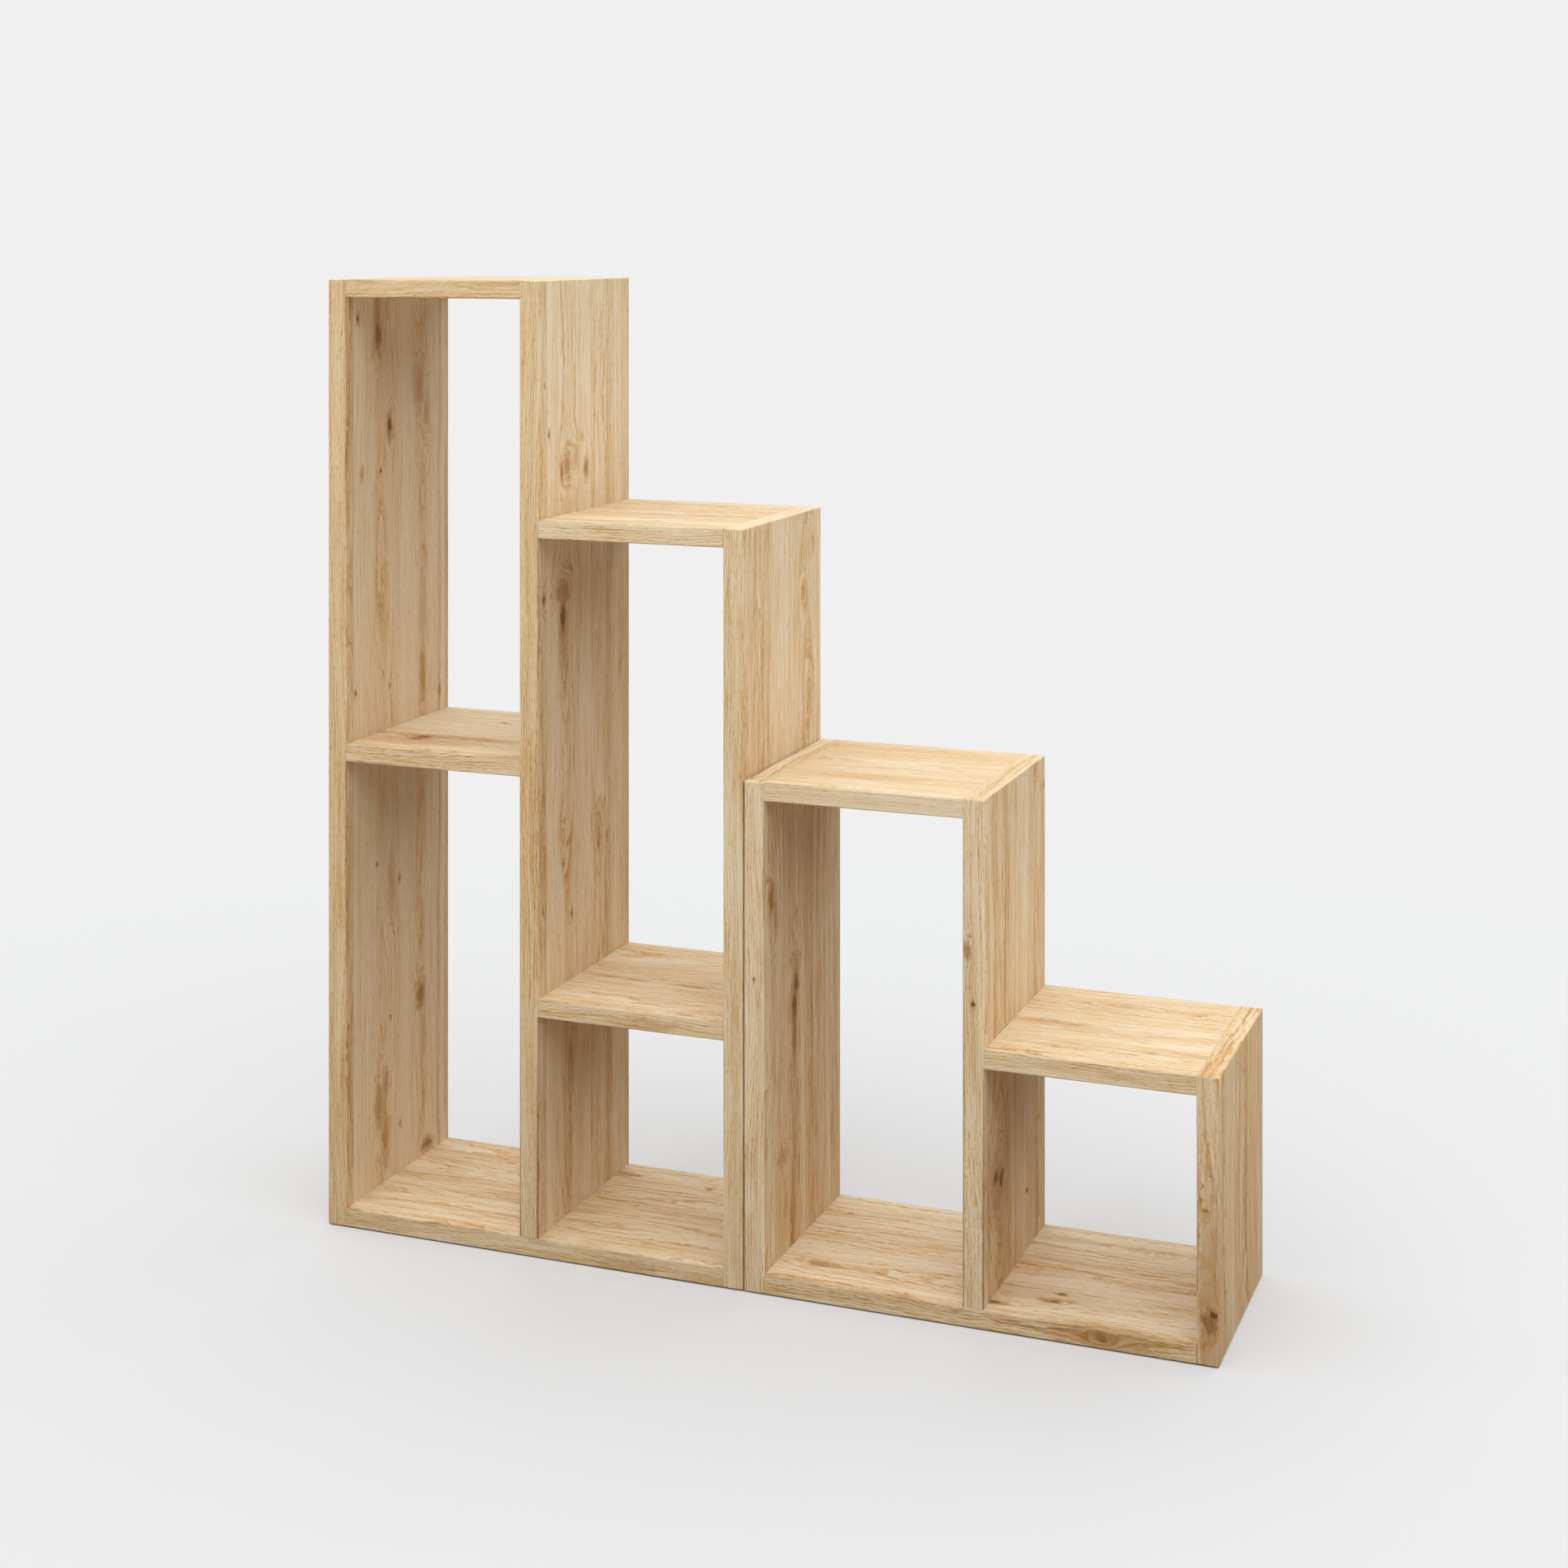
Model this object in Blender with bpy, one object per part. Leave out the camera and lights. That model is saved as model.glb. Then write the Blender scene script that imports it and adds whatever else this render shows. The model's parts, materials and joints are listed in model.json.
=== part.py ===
"""Stepped plant stand in solid oak: a tall and a low open carcass that stand side by side.

Each carcass is made of edge-glued oak boards, butt-jointed with glued beech dowels. The uprights are a little
thicker than the level boards. The middle upright stands on the bottom board, the other level boards are held
between the uprights, and every edge that a hand can reach is rounded over after the glue-up, so the rounding
runs into the inside corners.

Units are metres, +Z is up. The origin is on the floor under the middle of the whole stand, the width runs
along X with the steps going down towards +X, and the front looks towards -Y.
"""

import math

import bmesh
import bpy
from mathutils import Matrix, Vector

# Driving dimensions of the boards and carcasses
UPRIGHT = 0.030          # thickness of every upright
LEVEL = 0.027            # thickness of every level board
DEPTH = 0.320            # front face to back face
BAY_WIDTH = 0.2915       # clear width between two uprights
TALL_CLEAR = 0.322       # clear height between two levels of the tall carcass
LOW_STEP_HEIGHT = 0.381  # floor to the top of the lowest step
LOW_TOP_HEIGHT = 0.720   # floor to the top of the low carcass
CARCASS_GAP = 0.0020     # air between the two carcasses
EDGE_RADIUS = 0.002      # rounding on every exposed edge
EDGE_STEPS = 3           # facets in a quarter round
GLUE_LINE = 0.0003       # air left at each butt joint

# Driving dimensions of the dowel joints
DOWEL_DIAMETER = 0.010
DOWEL_IN_END = 0.023     # how far a dowel reaches into the end of a board
DOWEL_WEB = 0.010        # wood left behind a dowel hole in the face of a board
DOWEL_INSET = 0.060      # front or back face of the stand to the nearest dowel's axis
DOWEL_CHAMFER = 0.0012   # bevel on both ends of a dowel
DOWEL_FLUTES = 8         # glue grooves round a dowel
FLUTE_DEPTH = 0.0004
HOLE_CLEARANCE = 0.0003  # added to the dowel's radius by the drill
HOLE_SPARE = 0.0008      # glue room at the bottom of a hole
HOLE_OVERSHOOT = 0.005   # how far the drill starts outside the board
HOLE_SIDES = 16

TOUCH = 1e-6             # two faces closer than this are one joint plane

# Sizes that follow from the driving dimensions
BAY_PITCH = BAY_WIDTH + UPRIGHT
CARCASS_WIDTH = 2 * BAY_PITCH + UPRIGHT
TALL_PITCH = TALL_CLEAR + LEVEL
TALL_X = -(2 * CARCASS_WIDTH + CARCASS_GAP) / 2
LOW_X = TALL_X + CARCASS_WIDTH + CARCASS_GAP
DOWEL_IN_FACE = min(UPRIGHT, LEVEL) - DOWEL_WEB
DOWEL_ROWS = {"front": -DEPTH / 2 + DOWEL_INSET, "back": DEPTH / 2 - DOWEL_INSET}

OAK = ("oak_oiled", (0.62, 0.43, 0.24, 1.0), 0.55)
BEECH = ("beech_dowel", (0.68, 0.47, 0.29, 1.0), 0.70)


def tall_level(number):
    """Height of the top face of the board at that level of the tall carcass; level 0 is the bottom board."""
    return LEVEL + number * TALL_PITCH


class Board:
    """A board seen from the front: its rectangle in X and Z before glue lines and rounding."""

    def __init__(self, name, left, right, bottom, top):
        self.name = name
        self.left, self.right = left, right
        self.bottom, self.top = bottom, top
        self.stands = top - bottom > right - left
        self.joints = {"bottom": [], "right": [], "top": [], "left": []}

    def centre(self):
        return Vector(((self.left + self.right) / 2, 0.0, (self.bottom + self.top) / 2))


def upright(name, left, bottom, top):
    return Board(name, left, left + UPRIGHT, bottom, top)


def crosspiece(name, left, right, top):
    """A level board that runs from the upright face at left to the upright face at right."""
    return Board(name, left, right, top - LEVEL, top)


def tall_boards():
    """The tall carcass: its left bay reaches the top level, its right bay stops one level lower."""
    first, second, third = (TALL_X + bay * BAY_PITCH for bay in range(3))
    top, step = tall_level(4), tall_level(3)
    return [
        upright("tall_left_upright", first, 0.0, top),
        upright("tall_middle_upright", second, LEVEL, top),
        upright("tall_right_upright", third, 0.0, step),
        crosspiece("tall_bottom_board", first + UPRIGHT, third, tall_level(0)),
        crosspiece("tall_left_shelf", first + UPRIGHT, second, tall_level(2)),
        crosspiece("tall_right_shelf", second + UPRIGHT, third, tall_level(1)),
        crosspiece("tall_top_board", first + UPRIGHT, second, top),
        crosspiece("tall_step_board", second + UPRIGHT, third, step),
    ]


def low_boards():
    """The low carcass: one open bay under each of its two steps."""
    first, second, third = (LOW_X + bay * BAY_PITCH for bay in range(3))
    return [
        upright("low_left_upright", first, 0.0, LOW_TOP_HEIGHT),
        upright("low_middle_upright", second, LEVEL, LOW_TOP_HEIGHT),
        upright("low_right_upright", third, 0.0, LOW_STEP_HEIGHT),
        crosspiece("low_bottom_board", first + UPRIGHT, third, LEVEL),
        crosspiece("low_top_board", first + UPRIGHT, second, LOW_TOP_HEIGHT),
        crosspiece("low_step_board", second + UPRIGHT, third, LOW_STEP_HEIGHT),
    ]


class Joint:
    """A butt joint: the end of one board against the face of another, in the plane square to axis at place."""

    def __init__(self, ending, facing, side, place):
        self.ending, self.facing, self.side = ending, facing, side
        self.place = place
        into_face = {"left": (-1, 0, 0), "right": (1, 0, 0), "bottom": (0, 0, -1)}
        self.axis = Vector(into_face[side])


def spans_meet(low_a, high_a, low_b, high_b):
    """The stretch that two spans share, or None."""
    low, high = max(low_a, low_b), min(high_a, high_b)
    return (low, high) if high - low > TOUCH else None


def find_joints(boards):
    """Every place where the end of a board meets the face of another. Both boards note the covered stretch."""
    joints = []
    for ending in boards:
        for facing in boards:
            heights = spans_meet(ending.bottom, ending.top, facing.bottom, facing.top)
            widths = spans_meet(ending.left, ending.right, facing.left, facing.right)
            middle = ending.centre()
            if not ending.stands and facing.stands and heights:
                if abs(facing.right - ending.left) < TOUCH:
                    joints.append(Joint(ending, facing, "left", Vector((ending.left, 0, middle.z))))
                    facing.joints["right"].append(heights)
                    ending.joints["left"].append(heights)
                if abs(facing.left - ending.right) < TOUCH:
                    joints.append(Joint(ending, facing, "right", Vector((ending.right, 0, middle.z))))
                    facing.joints["left"].append(heights)
                    ending.joints["right"].append(heights)
            if ending.stands and not facing.stands and widths and abs(facing.top - ending.bottom) < TOUCH:
                joints.append(Joint(ending, facing, "bottom", Vector((middle.x, 0, ending.bottom))))
                facing.joints["top"].append(widths)
                ending.joints["bottom"].append(widths)
    return joints


def side_run(spans, low, high, drawn_back):
    """Corner points along one side as (place, distance drawn back), and whether its low and high ends are glued.

    The side is drawn back by the rounding except where a neighbour is glued on, and the neighbour's own
    rounding eats the same distance into both ends of the glued stretch."""
    points = []
    for start, end in sorted(spans):
        if start > low + TOUCH:
            points += [(start + drawn_back, drawn_back), (start + drawn_back, 0.0)]
        if end < high - TOUCH:
            points += [(end - drawn_back, 0.0), (end - drawn_back, drawn_back)]
    low_glued = any(start <= low + TOUCH for start, end in spans)
    high_glued = any(end >= high - TOUCH for start, end in spans)
    return points, low_glued, high_glued


def corner(at, inward, upright_side_glued, level_side_glued, drawn_back, start_angle):
    """Points of one outline corner: a round where both sides are bare, a plain point where one is glued."""
    if upright_side_glued or level_side_glued:
        back_x = 0.0 if upright_side_glued else drawn_back
        back_z = 0.0 if level_side_glued else drawn_back
        return [(at[0] + inward[0] * back_x, at[1] + inward[1] * back_z)]
    middle = (at[0] + inward[0] * EDGE_RADIUS, at[1] + inward[1] * EDGE_RADIUS)
    radius = EDGE_RADIUS - drawn_back
    turns = [start_angle + step * math.pi / 2 / EDGE_STEPS for step in range(EDGE_STEPS + 1)]
    return [(middle[0] + radius * math.cos(turn), middle[1] + radius * math.sin(turn)) for turn in turns]


def outline(board, drawn_back):
    """The board's front-view outline, anticlockwise from its lower left corner, drawn back by the rounding."""
    left = board.left + (GLUE_LINE if board.joints["left"] and not board.stands else 0.0)
    right = board.right - (GLUE_LINE if board.joints["right"] and not board.stands else 0.0)
    bottom = board.bottom + (GLUE_LINE if board.joints["bottom"] else 0.0)
    top = board.top
    under, under_left, under_right = side_run(board.joints["bottom"], board.left, board.right, drawn_back)
    over, over_left, over_right = side_run(board.joints["top"], board.left, board.right, drawn_back)
    west, west_low, west_high = side_run(board.joints["left"], board.bottom, board.top, drawn_back)
    east, east_low, east_high = side_run(board.joints["right"], board.bottom, board.top, drawn_back)
    points = corner((left, bottom), (1, 1), west_low, under_left, drawn_back, math.pi)
    points += [(place, bottom + back) for place, back in under]
    points += corner((right, bottom), (-1, 1), east_low, under_right, drawn_back, 1.5 * math.pi)
    points += [(right - back, place) for place, back in east]
    points += corner((right, top), (-1, -1), east_high, over_right, drawn_back, 0.0)
    points += [(place, top - back) for place, back in reversed(over)]
    points += corner((left, top), (1, -1), west_high, over_left, drawn_back, 0.5 * math.pi)
    points += [(left + back, place) for place, back in reversed(west)]
    return points


def rounding_levels():
    """(y, distance drawn back) of each section through the depth, front to back."""
    front = []
    for step in range(EDGE_STEPS + 1):
        turn = step * math.pi / 2 / EDGE_STEPS
        inset = EDGE_RADIUS * (1 - math.cos(turn))
        front.append((-DEPTH / 2 + inset, EDGE_RADIUS * (1 - math.sin(turn))))
    return front + [(-y, drawn_back) for y, drawn_back in reversed(front)]


def board_mesh(board):
    """A closed mesh lofted through the depth from the board's outlines, about the board's own centre."""
    shape = bmesh.new()
    middle = board.centre()
    rings = []
    for y, drawn_back in rounding_levels():
        ring = [shape.verts.new(Vector((x, y, z)) - middle) for x, z in outline(board, drawn_back)]
        rings.append(ring)
    for near, far in zip(rings, rings[1:]):
        for here in range(len(near)):
            after = (here + 1) % len(near)
            shape.faces.new((near[here], near[after], far[after], far[here]))
    shape.faces.new(reversed(rings[0]))
    shape.faces.new(rings[-1])
    bmesh.ops.remove_doubles(shape, verts=shape.verts, dist=TOUCH)
    bmesh.ops.dissolve_degenerate(shape, edges=shape.edges, dist=TOUCH)
    bmesh.ops.recalc_face_normals(shape, faces=shape.faces)
    mesh = bpy.data.meshes.new(board.name)
    shape.to_mesh(mesh)
    shape.free()
    return mesh


def turned_to(axis):
    """A rotation that lays +Z along axis."""
    return Vector((0, 0, 1)).rotation_difference(axis).to_matrix().to_4x4()


def dowel_mesh():
    """A fluted dowel along Z with bevelled ends; z 0 is the joint plane and +z reaches into the face board."""
    radius = DOWEL_DIAMETER / 2
    rings = [
        (-DOWEL_IN_END, radius - DOWEL_CHAMFER),
        (-DOWEL_IN_END + DOWEL_CHAMFER, radius),
        (DOWEL_IN_FACE - DOWEL_CHAMFER, radius),
        (DOWEL_IN_FACE, radius - DOWEL_CHAMFER),
    ]
    shape = bmesh.new()
    made = []
    for z, crest in rings:
        groove = crest - FLUTE_DEPTH
        ring = []
        for index in range(2 * DOWEL_FLUTES):
            turn = index * math.pi / DOWEL_FLUTES
            reach = groove if index % 2 else crest
            ring.append(shape.verts.new((reach * math.cos(turn), reach * math.sin(turn), z)))
        made.append(ring)
    for lower, upper in zip(made, made[1:]):
        for here in range(len(lower)):
            after = (here + 1) % len(lower)
            shape.faces.new((lower[here], lower[after], upper[after], upper[here]))
    shape.faces.new(reversed(made[0]))
    shape.faces.new(made[-1])
    mesh = bpy.data.meshes.new("fluted_dowel")
    shape.to_mesh(mesh)
    shape.free()
    return mesh


def dowel_places(joint):
    """Row name and centre of each dowel in a joint, on the joint plane."""
    return {row: joint.place + Vector((0, y, 0)) for row, y in DOWEL_ROWS.items()}


def hole_cutter(board, joints, parent):
    """One cutter with a drilled hole for every dowel that enters this board."""
    radius = DOWEL_DIAMETER / 2 + HOLE_CLEARANCE
    shape = bmesh.new()
    for joint in joints:
        if board not in (joint.ending, joint.facing):
            continue
        drilled_in = DOWEL_IN_FACE if board is joint.facing else DOWEL_IN_END
        away = 1 if board is joint.facing else -1
        low, high = sorted((-away * HOLE_OVERSHOOT, away * (drilled_in + HOLE_SPARE)))
        for place in dowel_places(joint).values():
            middle = place + joint.axis * (low + high) / 2 - board.centre()
            bmesh.ops.create_cone(
                shape, cap_ends=True, segments=HOLE_SIDES, radius1=radius, radius2=radius,
                depth=high - low, matrix=Matrix.Translation(middle) @ turned_to(joint.axis))
    mesh = bpy.data.meshes.new(board.name + "_holes")
    shape.to_mesh(mesh)
    shape.free()
    cutter = place_object(board.name + "_holes", mesh, board.centre(), parent)
    cutter.hide_render = True
    cutter.display_type = "WIRE"
    return cutter


def material(name, colour, roughness):
    made = bpy.data.materials.new(name)
    made.use_nodes = True
    shader = made.node_tree.nodes["Principled BSDF"]
    shader.inputs["Base Color"].default_value = colour
    shader.inputs["Roughness"].default_value = roughness
    shader.inputs["Metallic"].default_value = 0.0
    made.diffuse_color = colour
    return made


def place_object(name, mesh, place, parent):
    """A named object in the scene, held by its carcass; place is in the stand's frame."""
    made = bpy.data.objects.new(name, mesh)
    bpy.context.scene.collection.objects.link(made)
    made.parent = parent
    made.location = place - parent.location
    return made


def carcass_root(name, left):
    """An empty on the floor at the carcass's left face, which carries all its pieces."""
    made = bpy.data.objects.new(name, None)
    bpy.context.scene.collection.objects.link(made)
    made.location = (left, 0.0, 0.0)
    return made


def build_carcass(name, left, boards, oak, dowel_shape):
    """Makes the boards of one carcass, drills them and sets a pair of dowels in every joint."""
    root = carcass_root(name, left)
    joints = find_joints(boards)
    for board in boards:
        mesh = board_mesh(board)
        mesh.materials.append(oak)
        made = place_object(board.name, mesh, board.centre(), root)
        drill = made.modifiers.new("dowel_holes", "BOOLEAN")
        drill.operation = "DIFFERENCE"
        drill.solver = "EXACT"
        drill.object = hole_cutter(board, joints, root)
    for joint in joints:
        for row, place in dowel_places(joint).items():
            dowel_name = f"dowel_{joint.ending.name}_{joint.side}_{row}"
            dowel = place_object(dowel_name, dowel_shape, place, root)
            dowel.rotation_euler = turned_to(joint.axis).to_euler()


def main():
    for old in list(bpy.data.objects):
        bpy.data.objects.remove(old)
    oak, beech = material(*OAK), material(*BEECH)
    dowel_shape = dowel_mesh()
    dowel_shape.materials.append(beech)
    build_carcass("tall_carcass", TALL_X, tall_boards(), oak, dowel_shape)
    build_carcass("low_carcass", LOW_X, low_boards(), oak, dowel_shape)


main()
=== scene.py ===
# %% [markdown]
# # A stepped plant stand in solid oak
#
# The real stand is two open oak carcasses that stand side by side, so that their tops go down in four
# steps. Every board is glued up from a few staves of knotty oak, its free edges are rounded over, and
# hidden beech dowels hold the butt joints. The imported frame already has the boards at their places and
# sizes. This lesson keeps those sizes, remakes each board with finer edges, and gives the oak its grain
# and knots. Lengths are in metres, apart from the tables of staves, bands and knots, which are in
# millimetres.

import json
import math

import bpy
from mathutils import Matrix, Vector


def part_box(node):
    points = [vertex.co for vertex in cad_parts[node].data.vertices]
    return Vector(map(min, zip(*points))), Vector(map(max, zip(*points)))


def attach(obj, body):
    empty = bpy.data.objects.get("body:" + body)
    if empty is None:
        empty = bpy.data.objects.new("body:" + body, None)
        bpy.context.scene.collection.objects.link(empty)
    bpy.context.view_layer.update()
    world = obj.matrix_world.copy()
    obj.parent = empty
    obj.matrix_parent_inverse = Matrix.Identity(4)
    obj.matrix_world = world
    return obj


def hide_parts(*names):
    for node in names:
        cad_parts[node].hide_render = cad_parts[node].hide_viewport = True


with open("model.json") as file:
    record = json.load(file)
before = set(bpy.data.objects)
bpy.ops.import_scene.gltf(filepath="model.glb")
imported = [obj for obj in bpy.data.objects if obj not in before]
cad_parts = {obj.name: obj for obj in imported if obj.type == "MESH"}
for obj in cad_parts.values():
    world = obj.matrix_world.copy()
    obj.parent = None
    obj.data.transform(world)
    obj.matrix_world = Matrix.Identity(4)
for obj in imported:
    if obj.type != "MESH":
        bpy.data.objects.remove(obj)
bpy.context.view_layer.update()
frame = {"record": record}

# %% [markdown]
# ## Camera
#
# All upright edges of the stand are parallel in the picture, so the camera looks level and the lens is
# shifted down, as with an architect's shift lens. The place, the turn and the lens come from the corners
# of the stand: they were moved until the projected corners met the pictured ones.

# %% Camera
CAMERA_PLACE = (1.3215, -3.4449, 1.4900)
CAMERA_TURN = math.radians(20.986)
CAMERA_LENS = 57.615
CAMERA_SHIFT = -0.35024
SENSOR_WIDTH = 36.0


def add_object(name, data):
    """A new object in the scene that holds this data."""
    made = bpy.data.objects.new(name, data)
    bpy.context.scene.collection.objects.link(made)
    return made


def add_camera():
    data = bpy.data.cameras.new("camera")
    data.sensor_width = SENSOR_WIDTH
    data.lens = CAMERA_LENS
    data.shift_y = CAMERA_SHIFT
    camera = add_object("camera", data)
    camera.location = CAMERA_PLACE
    camera.rotation_euler = (math.pi / 2, 0.0, CAMERA_TURN)
    bpy.context.scene.camera = camera


add_camera()
print("Camera:", CAMERA_LENS, "mm lens at", CAMERA_PLACE)

# %% [markdown]
# ## A helper for node trees
#
# Finishes, the studio and the boards are all node trees. A small helper lays nodes and joins them, so
# that a formula reads from left to right in the code, much as it does in the node editor.

# %% Node helper
class Bench:
    """Lays nodes into one tree and joins them."""

    def __init__(self, tree):
        self.tree = tree

    def feed(self, socket, value):
        """Joins a socket to another one, or gives it a fixed value."""
        if isinstance(value, bpy.types.NodeSocket):
            self.tree.links.new(value, socket)
        elif value is not None:
            socket.default_value = value

    def node(self, kind, *values, **settings):
        """Adds a node, applies its settings, and feeds its inputs in order."""
        node = self.tree.nodes.new(kind)
        for name, value in settings.items():
            setattr(node, name, value)
        for socket, value in zip([s for s in node.inputs if s.enabled], values):
            self.feed(socket, value)
        return node

    def out(self, kind, *values, **settings):
        """Adds a node and returns its first output."""
        node = self.node(kind, *values, **settings)
        return next(s for s in node.outputs if s.enabled)

    def math(self, operation, *values):
        return self.out("ShaderNodeMath", *values, operation=operation)

    def vector(self, operation, *values):
        return self.out("ShaderNodeVectorMath", *values, operation=operation)

    def combine(self, x, y, z):
        return self.out("ShaderNodeCombineXYZ", x, y, z)

    def separate(self, vector):
        return self.node("ShaderNodeSeparateXYZ", vector).outputs

    def add_socket(self, name, direction, kind):
        """Gives the tree one named socket on its outside."""
        spaced_name = name.replace("_", " ")
        self.tree.interface.new_socket(spaced_name, in_out=direction, socket_type="NodeSocket" + kind)

    def inputs(self, **sockets):
        """Gives the tree its named inputs, and returns the sockets that carry them."""
        for name, kind in sockets.items():
            self.add_socket(name, "INPUT", kind)
        group_input = self.tree.nodes.new("NodeGroupInput")
        return group_input.outputs[: len(sockets)]

    def outputs(self, **values):
        """Gives the tree its named outputs, each as (kind, socket)."""
        for name, (kind, _) in values.items():
            self.add_socket(name, "OUTPUT", kind)
        group_output = self.tree.nodes.new("NodeGroupOutput")
        for socket, (_, value) in zip(group_output.inputs, values.values()):
            self.feed(socket, value)


print("Node helper ready")

# %% [markdown]
# ## Studio
#
# The stand is on a pale round floor in a plain bright room. Soft light comes from all round and from
# above, and a little more of it from the front right. So tops are brightest, sides get darker towards the
# floor, and the bays are dim under their shelves. A dome whose strength changes with its height above the
# horizon does this with no lamp. Light Path shows the camera a plain pale backdrop. It also shows it a
# floor as pale as the backdrop, so that the floor's rim can't be seen, while the floor that lights the
# stand from below is a darker one. A part of the seen floor glows: this is painted light, which makes the
# stand's shadow on it as faint as in the photograph. The glow stops where a board is close above, which
# is painted shade under the boards. A board never touches a floor all along, so the floor lies a hair
# lower. The thin dark line below the bottom edges is partly the real shadow in that gap and partly this
# painted shade.

# %% Studio
BACKDROP = (0.871, 0.871, 0.871, 1.0)
FLOOR_SEEN = (0.405, 0.383, 0.364, 1.0)
FLOOR_BOUNCE = (0.24, 0.19, 0.12, 1.0)
FLOOR_PAINTED_GLOW = 0.30
GLOW_COLOUR = (1.0, 1.0, 1.0, 1.0)
COVER_REACH = 0.02
COVER_RANGE = (0.05, 0.45)
FLOOR_RADIUS = 2.4
FLOOR_DROP = 0.0014
FLOOR_POINTS = 128
DOME_COLOUR = (0.935, 1.000, 1.065, 1.0)
DOME_STRENGTH = 2.46
DOME_STOPS = ((-0.02, 0.45), (0.00, 0.00), (0.40, 0.00), (0.45, 1.00), (0.84, 1.00), (0.89, 0.42))
DOME_ALL_ROUND = 0.80
DOME_EXTRA = 0.50
DOME_EXTRA_FROM = (0.45, -0.89, 0.0)


def ramp(bench, value, stops, interpolation="LINEAR"):
    """A colour ramp with (position, colour) stops in rising order."""
    node = bench.node("ShaderNodeValToRGB", value)
    node.color_ramp.interpolation = interpolation
    elements = node.color_ramp.elements
    elements.remove(elements[1])
    elements[0].position = stops[0][0]
    elements[0].color = stops[0][1]
    for position, colour in stops[1:]:
        elements.new(position).color = colour
    return node.outputs


def add_world():
    world = bpy.data.worlds.new("studio")
    world.use_nodes = True
    world.node_tree.nodes.clear()
    bench = Bench(world.node_tree)
    direction = bench.node("ShaderNodeTexCoord").outputs["Generated"]
    height = bench.separate(direction)[2]
    stops = [((level + 1) / 2, [share * part for part in DOME_COLOUR]) for level, share in DOME_STOPS]
    dome = ramp(bench, bench.math("MULTIPLY_ADD", height, 0.5, 0.5), stops)["Color"]
    facing = bench.math("MAXIMUM", bench.vector("DOT_PRODUCT", direction, DOME_EXTRA_FROM), 0.0)
    share = bench.math("MULTIPLY_ADD", facing, DOME_EXTRA, DOME_ALL_ROUND)
    light = bench.out("ShaderNodeBackground", dome, bench.math("MULTIPLY", share, DOME_STRENGTH))
    path = bench.node("ShaderNodeLightPath").outputs
    seen = bench.math("MAXIMUM", path["Is Camera Ray"], path["Is Glossy Ray"])
    seen = bench.math("MAXIMUM", seen, path["Is Transmission Ray"])
    backdrop = bench.out("ShaderNodeBackground", BACKDROP, 1.0)
    mixed = bench.out("ShaderNodeMixShader", seen, light, backdrop)
    bench.node("ShaderNodeOutputWorld", mixed)
    bpy.context.scene.world = world


def new_finish(name):
    """A new material, a bench for its nodes, and its shader."""
    material = bpy.data.materials.new(name)
    material.use_nodes = True
    return material, Bench(material.node_tree), material.node_tree.nodes["Principled BSDF"]


def floor_finish():
    material, bench, shader = new_finish("floor_paint")
    path = bench.node("ShaderNodeLightPath").outputs
    seen = bench.math("MAXIMUM", path["Is Camera Ray"], path["Is Glossy Ray"])
    colour = bench.out("ShaderNodeMix", seen, FLOOR_BOUNCE, FLOOR_SEEN, data_type="RGBA")
    bench.feed(shader.inputs["Base Color"], colour)
    shader.inputs["Roughness"].default_value = 1.0
    shader.inputs["Specular IOR Level"].default_value = 0.0
    shader.inputs["Emission Color"].default_value = GLOW_COLOUR
    # Painted light: the seen floor glows to lift the stand's shadow, and ambient occlusion fades the glow
    # out close under the boards, which is painted shade.
    uncovered = bench.node("ShaderNodeAmbientOcclusion", None, COVER_REACH).outputs["AO"]
    glow = bench.out("ShaderNodeMapRange", uncovered, *COVER_RANGE, 0.0, FLOOR_PAINTED_GLOW)
    bench.feed(shader.inputs["Emission Strength"], bench.math("MULTIPLY", seen, glow))
    return material


def add_floor():
    turns = [2 * math.pi * number / FLOOR_POINTS for number in range(FLOOR_POINTS)]
    rim = [(FLOOR_RADIUS * math.cos(turn), FLOOR_RADIUS * math.sin(turn), -FLOOR_DROP) for turn in turns]
    mesh = bpy.data.meshes.new("floor")
    mesh.from_pydata(rim, [], [range(FLOOR_POINTS)])
    mesh.materials.append(floor_finish())
    floor = add_object("floor", mesh)


add_world()
add_floor()
bpy.context.scene.view_settings.view_transform = "Standard"
print("Studio: dome strength", DOME_STRENGTH, "and a floor of radius", FLOOR_RADIUS)

# %% [markdown]
# ## Boards and their glued stretches
#
# On the real stand the edges were rounded over after the carcass was glued up. So a free edge is round, a
# rounding turns the inside corner of a bay in a mitre, and it never runs into a butt joint. The free
# stretches could be listed by hand, but the boards' places already say where they are: each board looks
# for boards of its own carcass that lie against it, and the rest of its side is free.

# %% Read the boards
DOWEL_NAMES_START = "dowel_"
GLUE_REACH = 0.0008
SIDE_WAYS = [(1, 0), (0, 1), (-1, 0), (0, -1)]
SIDE_OUTWARD = [(0, -1), (1, 0), (0, 1), (-1, 0)]


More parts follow.
